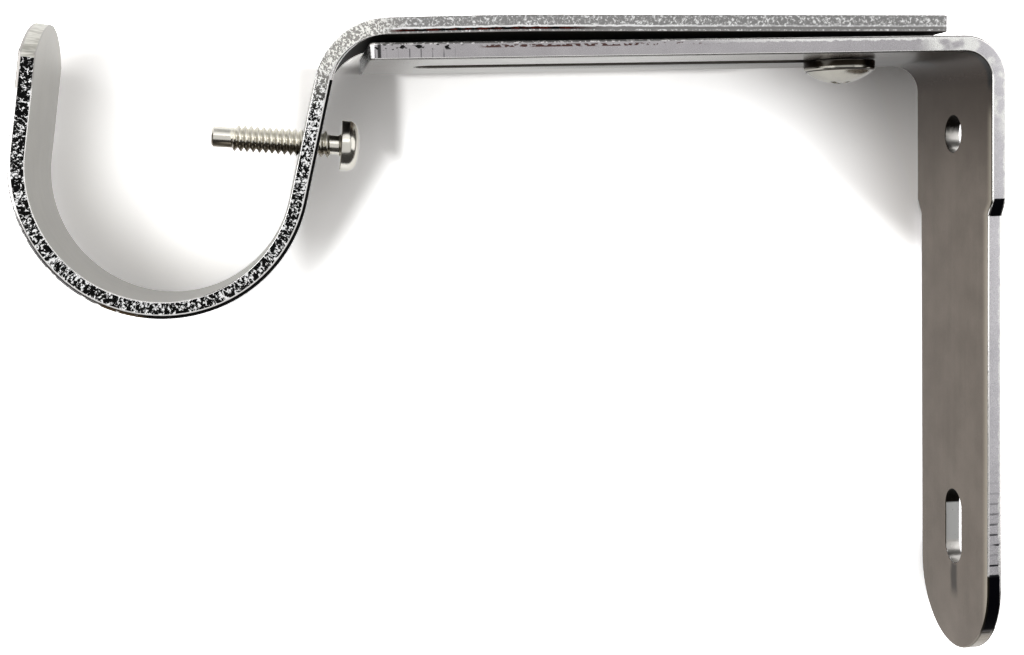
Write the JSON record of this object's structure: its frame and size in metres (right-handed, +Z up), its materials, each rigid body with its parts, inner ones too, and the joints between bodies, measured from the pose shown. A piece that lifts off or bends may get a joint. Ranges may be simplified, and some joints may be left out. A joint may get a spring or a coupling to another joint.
{
  "type": "adjustable curtain pole bracket",
  "caption": "Folded steel wall bracket with a sliding arm that ends in an open pole cup, held by a lock screw, with a small screw that grips the pole.",
  "frame": {"origin": "centre of the round wall hole, on the face that lies against the wall", "axes": "+X out of the back of the leg, into the wall; the room is towards -X; +Z up along the leg; Y across the strips, which are symmetric about Y = 0"},
  "size_m": [0.1261, 0.0238, 0.0884],
  "materials": {
    "bracket_plate": "satin nickel plate on folded steel strip",
    "arm_plate": "bright nickel plate on folded steel strip, with coarse cut edges",
    "screw_plate": "polished nickel plate on turned steel"
  },
  "bodies": {
    "bracket": {"wall_bracket": "bracket_plate"},
    "arm": {"cup_arm": "arm_plate"},
    "gripping_screw": {"pole_screw": "screw_plate"},
    "locking_screw": {"lock_screw": "screw_plate"}
  },
  "joints": [
    {"name": "arm_slide", "type": "slide", "parent": "bracket", "child": "arm", "axis": [-1, 0, 0], "range_m": [-0.001, 0.0555]},
    {"name": "pole_screw_travel", "type": "slide", "parent": "arm", "child": "gripping_screw", "axis": [-0.9956, 0, 0.0941], "range_m": [-0.0112, 0.0022]},
    {"name": "lock_screw_turn", "type": "hinge", "parent": "arm", "child": "locking_screw", "pos_m": [-0.01843, 0, 0.01008], "axis": [0.0122, 0, 0.9999], "range_deg": [0, 360]}
  ]
}
